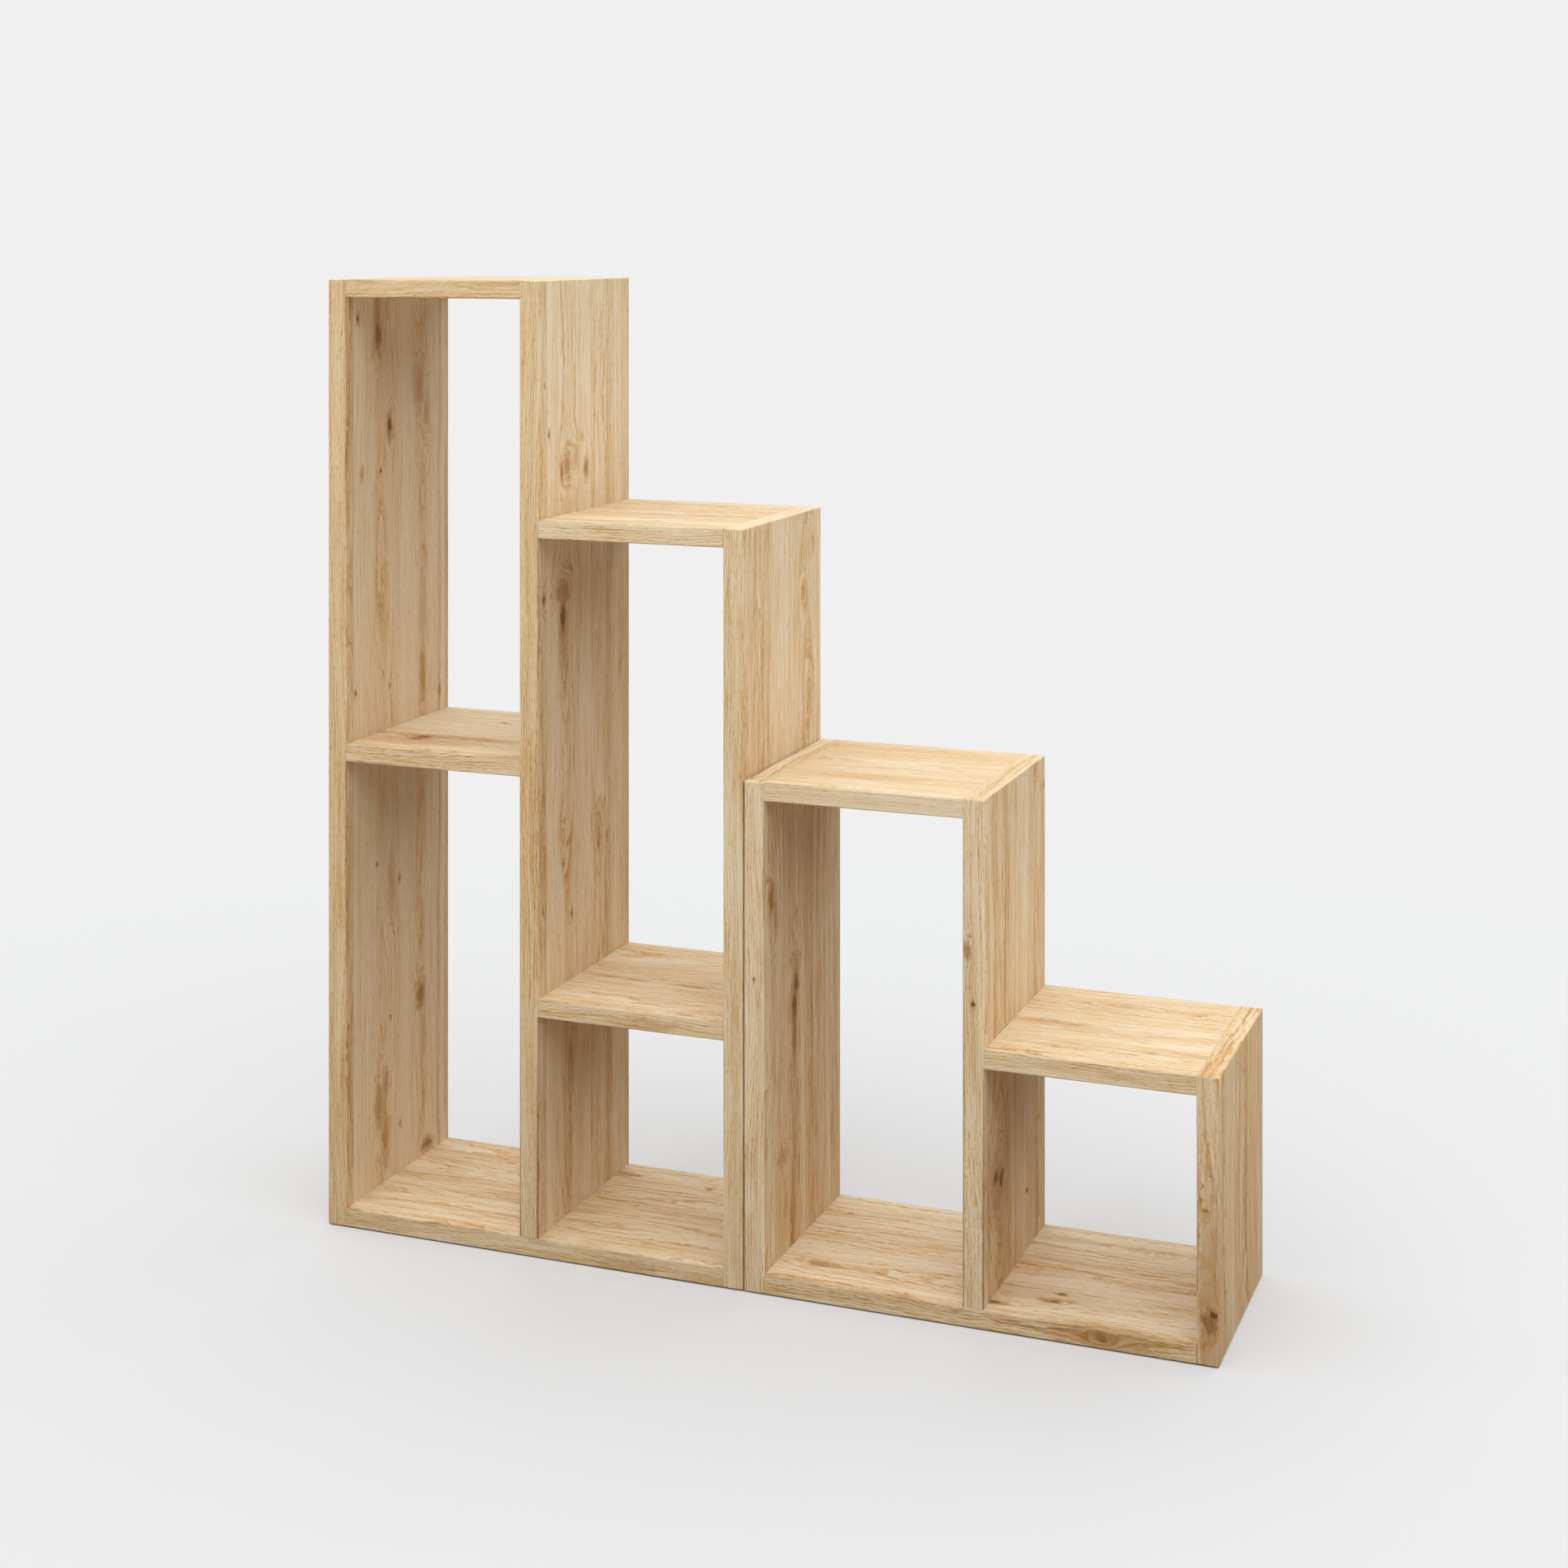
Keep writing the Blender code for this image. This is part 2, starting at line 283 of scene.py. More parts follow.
class Board:
    """One board of the frame: its box, and its sides in the order bottom, right, top, left."""

    def __init__(self, name, body):
        self.name = name
        self.body = body
        (self.left, self.front, self.bottom), (self.right, self.back, self.top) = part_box(name)
        self.standing = name.endswith("upright")
        self.middle = sum(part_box(name), Vector()) / 2
        self.depth = self.back - self.front
        self.length = self.top - self.bottom if self.standing else self.right - self.left
        self.planes = [self.bottom, self.right, self.top, self.left]
        self.corners = [
            (self.left, self.bottom),
            (self.right, self.bottom),
            (self.right, self.top),
            (self.left, self.top),
        ]

    def span(self, axis):
        """The board's reach along x (0) or z (1)."""
        return (self.left, self.right) if axis == 0 else (self.bottom, self.top)

    def side_length(self, side):
        low, high = self.span(side % 2)
        return high - low

    def glued_stretches(self, side, boards):
        """Stretches of one side that lie against other boards, measured from the side's first corner."""
        axis = side % 2
        start = self.corners[side][axis]
        stretches = []
        for other in boards:
            gap = abs(other.planes[(side + 2) % 4] - self.planes[side])
            low = max(self.span(axis)[0], other.span(axis)[0])
            high = min(self.span(axis)[1], other.span(axis)[1])
            if other is not self and gap < GLUE_REACH and high - low > GLUE_REACH:
                stretches.append((low - start, high - start) if side < 2 else (start - high, start - low))
        return sorted(stretches)


bodies = frame["record"]["behaviour"]["bodies"]
carcasses = {}
for body, names in bodies.items():
    carcasses[body] = [Board(name, body) for name in names if not name.startswith(DOWEL_NAMES_START)]
boards = [board for carcass in carcasses.values() for board in carcass]
print("Boards:", len(boards), "in", list(carcasses))

# %% [markdown]
# ## Outline of a board
#
# Seen from the front, a board is a rectangle. Near its front and back faces the rounding draws the
# outline in. Each outline point therefore carries a second value: which way it goes for each metre of
# drawing in. A free side goes inwards, a glued one stays, and the point where they meet goes along the
# joint.

# %% Outlines
EDGE_RADIUS = 0.002
ROUNDING_STEPS = 6


def is_glued(stretches, distance):
    return any(start - GLUE_REACH < distance < end + GLUE_REACH for start, end in stretches)


def corner_points(board, side, before, after):
    """The outline at the first corner of a side, given the glued stretches before and after the corner."""
    x, z = board.corners[side]
    out_before = Vector(SIDE_OUTWARD[side - 1])
    out_after = Vector(SIDE_OUTWARD[side])
    glued_before = is_glued(before, board.side_length(side - 1))
    glued_after = is_glued(after, 0.0)
    if glued_before or glued_after:
        inward = Vector((0, 0))
        if not glued_before:
            inward -= out_before
        if not glued_after:
            inward -= out_after
        return [(Vector((x, z)), inward)]
    centre = Vector((x, z)) - EDGE_RADIUS * (out_before + out_after)
    points = []
    for step in range(ROUNDING_STEPS + 1):
        turn = math.pi / 2 * step / ROUNDING_STEPS
        outward = out_before * math.cos(turn) + out_after * math.sin(turn)
        points.append((centre + EDGE_RADIUS * outward, -outward))
    return points


def side_points(board, side, stretches):
    """The outline between two corners: a pair of points wherever a glued stretch starts or ends."""
    start = Vector(board.corners[side])
    way = Vector(SIDE_WAYS[side])
    outward = Vector(SIDE_OUTWARD[side])
    points = []
    for low, high in stretches:
        if low > GLUE_REACH:
            points.append((start + way * low, way - outward))
            points.append((start + way * low, way))
        if high < board.side_length(side) - GLUE_REACH:
            points.append((start + way * high, -way))
            points.append((start + way * high, -way - outward))
    return points


def outline_mesh(board, neighbours):
    """The outline as one flat face in the x-z plane, with the inward ways as a point attribute."""
    stretches = [board.glued_stretches(side, neighbours) for side in range(4)]
    points = []
    for side in range(4):
        points += corner_points(board, side, stretches[side - 1], stretches[side])
        points += side_points(board, side, stretches[side])
    mesh = bpy.data.meshes.new(board.name + "_outline")
    mesh.from_pydata([(p.x, 0.0, p.y) for p, _ in points], [], [range(len(points))])
    inward = mesh.attributes.new("inward", "FLOAT_VECTOR", "POINT")
    for item, (_, way) in zip(inward.data, points):
        item.vector = (way.x, 0.0, way.y)
    return mesh


outlines = {board.name: outline_mesh(board, carcasses[board.body]) for board in boards}
print("Outline points:", {name: len(mesh.vertices) for name, mesh in outlines.items()})

# %% [markdown]
# ## Dowel tree
#
# Each butt joint has two fluted beech dowels. They all have one shape and differ only in place and
# direction, which is what instancing in Geometry Nodes is for: a point for each dowel, with its axis as
# an attribute. The rod is a cylinder whose inner rings go out to the shoulders of its bevelled ends.

# %% Dowel tree
FLUTES = 8
POINTS_PER_FLUTE = 4
ROD_SEGMENTS = 3
END_SHARE = 0.4


def dowel_tree():
    tree = bpy.data.node_groups.new("dowels", "GeometryNodeTree")
    bench = Bench(tree)
    points, radius, length, flute_depth, chamfer, finish = bench.inputs(
        Points="Geometry", Radius="Float", Length="Float",
        Flute_Depth="Float", Chamfer="Float", Finish="Material"
    )
    rod = bench.out("GeometryNodeMeshCylinder", FLUTES * POINTS_PER_FLUTE, ROD_SEGMENTS, 1, radius, length)
    x, y, z = bench.separate(bench.out("GeometryNodeInputPosition"))
    is_end = bench.out(
        "FunctionNodeCompare",
        bench.math("ABSOLUTE", z),
        bench.math("MULTIPLY", length, END_SHARE),
        data_type="FLOAT",
        operation="GREATER_THAN",
    )
    wave = bench.math("COSINE", bench.math("MULTIPLY", bench.math("ARCTAN2", y, x), FLUTES))
    groove = bench.math("MULTIPLY", flute_depth, bench.math("MAXIMUM", wave, 0.0))
    reach = bench.math("SUBTRACT", radius, groove)
    reach = bench.math("SUBTRACT", reach, bench.math("MULTIPLY", is_end, chamfer))
    scale = bench.math("DIVIDE", reach, radius)
    shoulder = bench.math("SUBTRACT", bench.math("MULTIPLY", length, 0.5), chamfer)
    shoulder = bench.math("MULTIPLY", bench.math("SIGN", z), shoulder)
    height = bench.out("GeometryNodeSwitch", is_end, shoulder, z, input_type="FLOAT")
    place = bench.combine(bench.math("MULTIPLY", x, scale), bench.math("MULTIPLY", y, scale), height)
    rod = bench.out("GeometryNodeSetPosition", rod, True, place)
    rod = bench.out("GeometryNodeStoreNamedAttribute", rod, True, "rod_place",
                    bench.out("GeometryNodeInputPosition"), data_type="FLOAT_VECTOR", domain="POINT")
    axis = bench.out("GeometryNodeInputNamedAttribute", "axis", data_type="FLOAT_VECTOR")
    turn = bench.out("FunctionNodeAlignRotationToVector", None, 1.0, axis, axis="Z")
    rods = bench.node("GeometryNodeInstanceOnPoints", points, True, rod)
    bench.feed(rods.inputs["Rotation"], turn)
    whole = bench.out("GeometryNodeRealizeInstances", rods.outputs[0])
    whole = bench.out("GeometryNodeSetMaterial", whole, True, finish)
    bench.outputs(Geometry=("Geometry", whole))
    return tree


def run_tree(name, mesh, tree, **values):
    """Runs a geometry tree on a mesh and returns its result as a plain mesh object."""
    maker = add_object(name + "_maker", mesh)
    modifier = maker.modifiers.new("tree", "NODES")
    modifier.node_group = tree
    for item in tree.interface.items_tree:
        input_name = item.name.replace(" ", "_")
        if item.in_out == "INPUT" and input_name in values:
            modifier[item.identifier] = values[input_name]
    depsgraph = bpy.context.evaluated_depsgraph_get()
    result = bpy.data.meshes.new_from_object(maker.evaluated_get(depsgraph))
    bpy.data.objects.remove(maker)
    result.name = name
    return add_object(name, result)


DOWELS = dowel_tree()
print("Dowel tree:", len(DOWELS.nodes), "nodes")

# %% [markdown]
# ## Beech
#
# Dowel stock is straight-grained beech: pale, a little pink, with short darker flecks along the rod. Each
# rod carries its own coordinates from the tree, so the flecks follow the rod whichever way it points.

# %% Beech finish
BEECH_FIBRE = (1800.0, 1800.0, 60.0)
BEECH_DETAIL = 2.0
BEECH_FLECK_RANGE = (0.42, 0.72)
BEECH_PALE = (0.60, 0.38, 0.22, 1.0)
BEECH_FLECK = (0.40, 0.22, 0.12, 1.0)
BEECH_ROUGHNESS_RANGE = (0.3, 0.7, 0.55, 0.75)


def beech_finish():
    material, bench, shader = new_finish("beech_rod")
    place = bench.node("ShaderNodeAttribute", attribute_name="rod_place").outputs["Vector"]
    fibre = bench.vector("MULTIPLY", place, BEECH_FIBRE)
    flecks = bench.out("ShaderNodeTexNoise", fibre, 1.0, BEECH_DETAIL)
    share = bench.out("ShaderNodeMapRange", flecks, *BEECH_FLECK_RANGE, 0.0, 1.0)
    colour = bench.out("ShaderNodeMix", share, BEECH_PALE, BEECH_FLECK, data_type="RGBA")
    bench.feed(shader.inputs["Base Color"], colour)
    bench.feed(shader.inputs["Roughness"], bench.out("ShaderNodeMapRange", flecks, *BEECH_ROUGHNESS_RANGE))
    return material


BEECH = beech_finish()
print("Beech finish:", BEECH.name)

# %% [markdown]
# ## Dowels and drills
#
# In the real joints the dowels are hidden, and their holes are a little wider and longer than they are,
# for clearance and glue. The dowels could be copied from the frame one by one, but the tree makes all
# those of a carcass at once. Their places, directions and sizes are read from the frame. The same tree
# with other sizes and no flutes makes the drill that bores the holes into the boards.

# %% Dowels and drills
MM = 1000  # millimetres in a metre
FLUTE_DEPTH = 0.0004
DOWEL_CHAMFER = 0.0012
HOLE_CLEARANCE = 0.0003
HOLE_SPARE = 0.0008


def dowel_points(body, names):
    """One point at the middle of each dowel, with its direction, and the dowels' radius and length."""
    mesh = bpy.data.meshes.new(body + "_dowel_points")
    boxes = [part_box(name) for name in names]
    mesh.from_pydata([(low + high) / 2 for low, high in boxes], [], [])
    axis = mesh.attributes.new("axis", "FLOAT_VECTOR", "POINT")
    for item, (low, high) in zip(axis.data, boxes):
        size = high - low
        item.vector = [float(value == max(size)) for value in size]
    size = sorted(boxes[0][1] - boxes[0][0])
    return mesh, size[1] / 2, size[2]


drills = {}
for body, names in bodies.items():
    dowel_names = [name for name in names if name.startswith(DOWEL_NAMES_START)]
    points, radius, length = dowel_points(body, dowel_names)
    dowels = run_tree(
        body + "_dowels", points, DOWELS, Radius=radius, Length=length,
        Flute_Depth=FLUTE_DEPTH, Chamfer=DOWEL_CHAMFER, Finish=BEECH
    )
    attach(dowels, body)
    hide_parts(*dowel_names)
    drills[body] = run_tree(
        body + "_drill", points, DOWELS, Radius=radius + HOLE_CLEARANCE, Length=length + 2 * HOLE_SPARE,
        Flute_Depth=0.0, Chamfer=DOWEL_CHAMFER, Finish=BEECH
    )
    width_and_length = (round(2 * MM * radius, 1), round(MM * length, 1))
    print(body, "has", len(dowel_names), "dowels of this width and length in mm:", width_and_length)

# %% [markdown]
# ## Board tree
#
# A board could be a cube with a Bevel modifier, but a bevel would also round the edges inside the joints.
# The tree instead wraps a grid round the outline: columns follow the outline points, rows go from front
# to back, and the first and last rows are drawn in along a quarter circle. The outline face closes both
# ends, and the drill takes out the dowel holes. Flat faces stay flat, and only the roundings are shaded
# smooth.

# %% Board tree
MERGE_REACH = 0.000005
FLAT_SHARE = 0.99995


def rounding_rows(bench, row, last_row, front, back, radius, steps):
    """How far each row is drawn in, and its depth."""
    from_end = bench.math("MINIMUM", row, bench.math("SUBTRACT", last_row, row))
    turn = bench.math("MULTIPLY", bench.math("DIVIDE", from_end, steps), math.pi / 2)
    drawn = bench.math("MULTIPLY", radius, bench.math("SUBTRACT", 1.0, bench.math("SINE", turn)))
    inset = bench.math("MULTIPLY", radius, bench.math("SUBTRACT", 1.0, bench.math("COSINE", turn)))
    in_back_half = bench.math("GREATER_THAN", row, bench.math("MULTIPLY", last_row, 0.5))
    depth = bench.out("GeometryNodeSwitch", in_back_half, bench.math("ADD", front, inset),
                      bench.math("SUBTRACT", back, inset), input_type="FLOAT")
    return drawn, depth


def board_skin(bench, outline, front, back, radius, steps):
    """The sides of the board: a grid wrapped round the outline."""
    count = bench.out("GeometryNodeAttributeDomainSize", outline, component="MESH")
    rows = bench.math("MULTIPLY_ADD", steps, 2.0, 2.0)
    grid = bench.out("GeometryNodeMeshGrid", 1.0, 1.0, bench.math("ADD", count, 1.0), rows)
    index = bench.out("GeometryNodeInputIndex")
    column = bench.math("FLOOR", bench.math("DIVIDE", bench.math("ADD", index, 0.5), rows))
    row = bench.math("SUBTRACT", index, bench.math("MULTIPLY", column, rows))
    source = bench.math("MODULO", column, count)
    position = bench.out("GeometryNodeInputPosition")
    inward = bench.out("GeometryNodeInputNamedAttribute", "inward", data_type="FLOAT_VECTOR")
    base = bench.out("GeometryNodeSampleIndex", outline, position, source, data_type="FLOAT_VECTOR")
    way = bench.out("GeometryNodeSampleIndex", outline, inward, source, data_type="FLOAT_VECTOR")
    last_row = bench.math("SUBTRACT", rows, 1.0)
    drawn, depth = rounding_rows(bench, row, last_row, front, back, radius, steps)
    place = bench.vector("ADD", base, bench.vector("SCALE", way, drawn))
    place = bench.vector("ADD", place, bench.combine(0.0, depth, 0.0))
    return bench.out("GeometryNodeFlipFaces", bench.out("GeometryNodeSetPosition", grid, True, place))


def board_end(bench, outline, depth, radius):
    """The flat face at the front or back of the board."""
    inward = bench.out("GeometryNodeInputNamedAttribute", "inward", data_type="FLOAT_VECTOR")
    offset = bench.vector("ADD", bench.vector("SCALE", inward, radius), bench.combine(0.0, depth, 0.0))
    return bench.out("GeometryNodeSetPosition", outline, True, None, offset)


def shade_roundings(bench, geometry):
    """Smooth shading on the roundings only."""
    normal = bench.vector("ABSOLUTE", bench.out("GeometryNodeInputNormal"))
    x, y, z = bench.separate(normal)
    largest = bench.math("MAXIMUM", bench.math("MAXIMUM", x, y), z)
    is_round = bench.math("LESS_THAN", largest, FLAT_SHARE)
    geometry = bench.out("GeometryNodeSetShadeSmooth", geometry, True, False)
    return bench.out("GeometryNodeSetShadeSmooth", geometry, is_round, True)


def board_tree():
    tree = bpy.data.node_groups.new("rounded_board", "GeometryNodeTree")
    bench = Bench(tree)
    outline, front, back, radius, steps, drill, finish = bench.inputs(
        Outline="Geometry", Front="Float", Back="Float", Edge_Radius="Float",
        Rounding_Steps="Int", Drill="Object", Finish="Material"
    )
    join = bench.node("GeometryNodeJoinGeometry")
    back_end = bench.out("GeometryNodeFlipFaces", board_end(bench, outline, back, radius))
    bench.feed(join.inputs[0], board_skin(bench, outline, front, back, radius, steps))
    bench.feed(join.inputs[0], board_end(bench, outline, front, radius))
    bench.feed(join.inputs[0], back_end)
    board = bench.out("GeometryNodeMergeByDistance", join.outputs[0], True, MERGE_REACH)
    holes = bench.node("GeometryNodeObjectInfo", drill).outputs["Geometry"]
    board = bench.out("GeometryNodeMeshBoolean", board, holes, operation="DIFFERENCE", solver="EXACT")
    board = shade_roundings(bench, bench.out("GeometryNodeRealizeInstances", board))
    bench.outputs(Geometry=("Geometry", bench.out("GeometryNodeSetMaterial", board, True, finish)))
    return tree


ROUNDED_BOARD = board_tree()
print("Board tree:", len(ROUNDED_BOARD.nodes), "nodes")

# %% [markdown]
# ## Oak
#
# The boards are glued up from staves, and each stave was sawn from a log. A picture of oak laid over each
# face wouldn't meet the next face at an edge. The finish is therefore solid: it works out how far each
# point is from the heart of its own log, and draws growth rings by that distance. Arches on the faces,
# straight lines on the edges and arcs on the end grain then come by themselves. The log bends along its
# length, and its rings wave and curl a little, because a tree never grows quite straight.

# %% Growth rings
MIDDLING = 0.5
RING_WIDTH = 0.0042
EARLY_FADE = 2.0
FAINTEST_RING = 0.25
HEART_REACH = 0.40
ARC_RADIUS = 0.08
BENDS_PER_METRE = 1.9
BEND_DETAIL = 1.0
BEND_ACROSS = 0.035
BEND_THROUGH = 0.045
RING_WAVE = {"size": (0.16, 0.045, 0.045)}
RING_WAVE_DEPTH = 0.010
RING_CURL = {"size": (0.022, 0.012, 0.012)}
RING_CURL_DEPTH = 0.004


def grain_noise(bench, place, size, detail=2.0, roughness=0.5):
    """Noise whose features have about this size along, across and through the wood."""
    scaled = bench.vector("DIVIDE", bench.combine(*place), size)
    return bench.out("ShaderNodeTexNoise", scaled, 1.0, detail, roughness)


def centred(bench, value, amount):
    """Turns a value from 0 to 1 into one from minus to plus half of the amount."""
    return bench.math("MULTIPLY", bench.math("SUBTRACT", value, MIDDLING), amount)


def heart_offset(bench, value, heart, bend, amount):
    """The distance from the heart in one direction, as the log bends along its length."""
    offset = bench.math("SUBTRACT", value, centred(bench, heart, HEART_REACH))
    return bench.math("ADD", offset, centred(bench, bend, amount))


def log_place(bench, wood, stave, seed, curl):
    """Places in the log: along it, away from its heart, and round it at the arc radius."""
    along, across, through = wood
    _, heart_across, heart_through = bench.node("ShaderNodeSeparateColor", stave).outputs
    bend_place = bench.combine(along, seed, 0.0)
    bend = bench.node("ShaderNodeTexNoise", bend_place, BENDS_PER_METRE, BEND_DETAIL).outputs["Color"]
    bend_across, bend_through, _ = bench.node("ShaderNodeSeparateColor", bend).outputs
    from_heart = heart_offset(bench, across, heart_across, bend_across, BEND_ACROSS)
    above_heart = heart_offset(bench, through, heart_through, bend_through, BEND_THROUGH)
    radius = bench.vector("LENGTH", bench.combine(0.0, from_heart, above_heart))
    wave = centred(bench, grain_noise(bench, wood, **RING_WAVE), RING_WAVE_DEPTH)
    radius = bench.math("ADD", radius, wave)
    curl_depth = bench.math("MULTIPLY", curl, RING_CURL_DEPTH)
    radius = bench.math("ADD", radius, centred(bench, grain_noise(bench, wood, **RING_CURL), curl_depth))
    arc = bench.math("MULTIPLY", bench.math("ARCTAN2", from_heart, above_heart), ARC_RADIUS)
    return along, radius, arc


def early_wood(bench, radius):
    """How early in its year the wood grew, from 0 to 1, less so in some years."""
    rings = bench.math("DIVIDE", radius, RING_WIDTH)
    ring_chance = bench.out("ShaderNodeTexWhiteNoise", bench.math("FLOOR", rings), noise_dimensions="1D")
    early = bench.math("POWER", bench.math("SUBTRACT", 1.0, bench.math("FRACT", rings)), EARLY_FADE)
    strength = bench.math("MULTIPLY_ADD", ring_chance, 1.0 - FAINTEST_RING, FAINTEST_RING)
    return bench.math("MULTIPLY", early, strength)


print("Growth rings", round(MM * RING_WIDTH, 1), "mm wide")

# %% [markdown]
# ## Streaks, flecks and pores
#
# Rings alone look drawn. Real oak also has broad and narrow streaks along the log, soft blotches, short
# flecks that come in patches, and open pores, most of them in the early wood. Each is one stretched
# noise, and its amount says how much it changes the darkness of the wood. A ramp then turns the darkness
# into a colour.

# %% Streaks, flecks and pores
BROAD = {"size": (0.70, 0.014, 0.040), "detail": 3.0, "roughness": 0.55}
BROAD_AMOUNT = 0.65
STREAK = {"size": (0.14, 0.0040, 0.012), "detail": 3.0, "roughness": 0.6}
STREAK_AMOUNT = 0.75
FLECK = {"size": (0.055, 0.0016, 0.0016), "detail": 4.0, "roughness": 0.7}
FLECK_AMOUNT = 1.15
PATCH = {"size": (0.18, 0.025, 0.025)}
PATCH_RANGE = (0.35, 0.65, 0.4, 1.6)
PORE = {"size": (0.012, 0.0010, 0.0010), "detail": 1.0}
PORE_RANGE = (0.50, 0.66, 0.0, 1.0)
PORES_EVERYWHERE = 0.3
PORES_IN_EARLY_WOOD = 0.8


def add_streaks(bench, darkness, wood, log, figure):
    """Adds streaks that follow the log, and flecks that come in patches, to the darkness of the wood."""
    broad = grain_noise(bench, log, **BROAD)
    streak = grain_noise(bench, log, **STREAK)
    fleck = grain_noise(bench, wood, **FLECK)
    patch = bench.out("ShaderNodeMapRange", grain_noise(bench, wood, **PATCH), *PATCH_RANGE)
    fleck_amount = bench.math("MULTIPLY", patch, FLECK_AMOUNT)
    for part, amount in ((broad, BROAD_AMOUNT), (streak, STREAK_AMOUNT), (fleck, fleck_amount)):
        amount = bench.math("MULTIPLY", figure, amount)
        darkness = bench.math("ADD", darkness, centred(bench, part, amount))
    return darkness


def open_pores(bench, wood, early):
    """How open the pores are at each point, which is most in the early wood."""
    pore = bench.out("ShaderNodeMapRange", grain_noise(bench, wood, **PORE), *PORE_RANGE)
    share = bench.math("MULTIPLY_ADD", early, PORES_IN_EARLY_WOOD, PORES_EVERYWHERE)
    return bench.math("MULTIPLY", pore, share)


print("Streaks:", BROAD["size"], STREAK["size"], "flecks:", FLECK["size"], "pores:", PORE["size"])

# %% Oak grain group
STAVE_SPACING = 40.0
OAK_BASE = 0.258
EARLY_MEAN = 0.21
EARLY_DIP = 0.3
RING_AMOUNT = 0.33
BLOTCH = {"size": (0.20, 0.05, 0.05)}
BLOTCH_AMOUNT = 0.34
TONE_AMOUNT = -0.40
BAND_AMOUNT = -1.15
PORE_AMOUNT = 0.48
OAK_ROUGHNESS = 0.55
PORE_ROUGHNESS = 0.15
OAK_STOPS = (
    (0.00, (0.800, 0.640, 0.438, 1.0)),
    (0.35, (0.698, 0.484, 0.262, 1.0)),
    (0.60, (0.590, 0.340, 0.140, 1.0)),
    (1.00, (0.370, 0.176, 0.054, 1.0)),
)
KNOT_BROWN = (0.430, 0.205, 0.058, 1.0)
KNOT_DARK = (0.130, 0.048, 0.013, 1.0)


def oak_group():
    tree = bpy.data.node_groups.new("oak_grain", "ShaderNodeTree")
    bench = Bench(tree)
    place, stave, seed, band, figure, curl, shift, brown, dark = bench.inputs(
        Place="Vector", Stave="Color", Seed="Float", Band="Float", Figure="Float", Curl="Float",
        Shift="Vector", Brown="Float", Dark="Float"
    )
    along, across, through = bench.separate(bench.vector("ADD", place, shift))
    wood = (bench.math("MULTIPLY_ADD", seed, STAVE_SPACING, along), across, through)
    log = log_place(bench, wood, stave, seed, curl)
    early = early_wood(bench, log[1])
    ring = bench.math("SUBTRACT", early, EARLY_MEAN)
    darkness = bench.math("MULTIPLY_ADD", ring, bench.math("MULTIPLY", figure, RING_AMOUNT), OAK_BASE)
    darkness = add_streaks(bench, darkness, wood, log, figure)
    blotch = grain_noise(bench, wood, **BLOTCH)
    tone = bench.node("ShaderNodeSeparateColor", stave).outputs[0]
    for part, amount in ((blotch, BLOTCH_AMOUNT), (tone, TONE_AMOUNT), (band, BAND_AMOUNT)):
        darkness = bench.math("ADD", darkness, centred(bench, part, amount))
    pore = open_pores(bench, wood, early)
    darkness = bench.math("MULTIPLY_ADD", pore, PORE_AMOUNT, darkness)
    colour = ramp(bench, darkness, OAK_STOPS)[0]
    colour = bench.out("ShaderNodeMix", brown, colour, KNOT_BROWN, data_type="RGBA")
    colour = bench.out("ShaderNodeMix", dark, colour, KNOT_DARK, data_type="RGBA")
    roughness = bench.math("MULTIPLY_ADD", pore, PORE_ROUGHNESS, OAK_ROUGHNESS)
    height = bench.math("MULTIPLY", bench.math("MULTIPLY_ADD", early, EARLY_DIP, pore), -1.0)
    height = bench.math("SUBTRACT", height, dark)
    bench.outputs(Colour=("Color", colour), Roughness=("Float", roughness), Height=("Float", height))
    return tree


OAK_GRAIN = oak_group()
print("Oak group:", len(OAK_GRAIN.nodes), "nodes")

# %% [markdown]
# ## Knots
#
# A knot is a cut branch. The growth rings bulge over it and the grain runs round it, a brown halo
# surrounds it, longer than wide, and its core is dark. A spot of colour would lie on the grain without
# bending it, so a knot also moves the place at which the grain is read. Noise makes its rim ragged and
# its core mottled. One group draws one knot and passes on what the knots before it drew, so a board's
# knots are a chain of such groups.

# %% Knot group
KNOT_NOISE = (60.0, 190.0, 190.0)
KNOT_NOISE_DETAIL = 4.0
KNOT_NOISE_ROUGHNESS = 0.7
RAGGED_GAIN = 2.6
RAGGED_START = -0.3
MOTTLE_RANGE = (0.42, 0.58)
MOTTLE_LEAST = 0.8
HALO_STRETCH = (1.7, 1.0, 1.0)
HALO_RIM = (0.5, 2.3)
CORE_RIM = (0.80, 1.20)
CORE_POWER = 1.5
BEND_FADE = -0.22
BEND_SIDEWAYS = (0.0, -0.60, -0.60)
BULGE_SHARE = 0.8
BULGE_MOST = 0.004


def grain_bend(bench, offset, size, brownness, reach):
    """How far a knot moves the grain near it: round the knot, and up over it."""
    near = bench.math("EXPONENT", bench.math("MULTIPLY", bench.math("MULTIPLY", reach, reach), BEND_FADE))
    sideways = bench.vector("MULTIPLY", offset, BEND_SIDEWAYS)
    bulge = bench.math("MINIMUM", bench.math("MULTIPLY", bench.separate(size)[0], BULGE_SHARE), BULGE_MOST)
    bulge = bench.math("MULTIPLY", bulge, brownness)
    bent = bench.vector("ADD", sideways, bench.combine(0.0, 0.0, bulge))
    return bench.vector("SCALE", bent, near)


def inside(bench, reach, rim):
    """1 inside a rim and 0 outside it, with a soft change between."""
    return bench.out("ShaderNodeMapRange", reach, *rim, 1.0, 0.0, interpolation_type="SMOOTHSTEP")


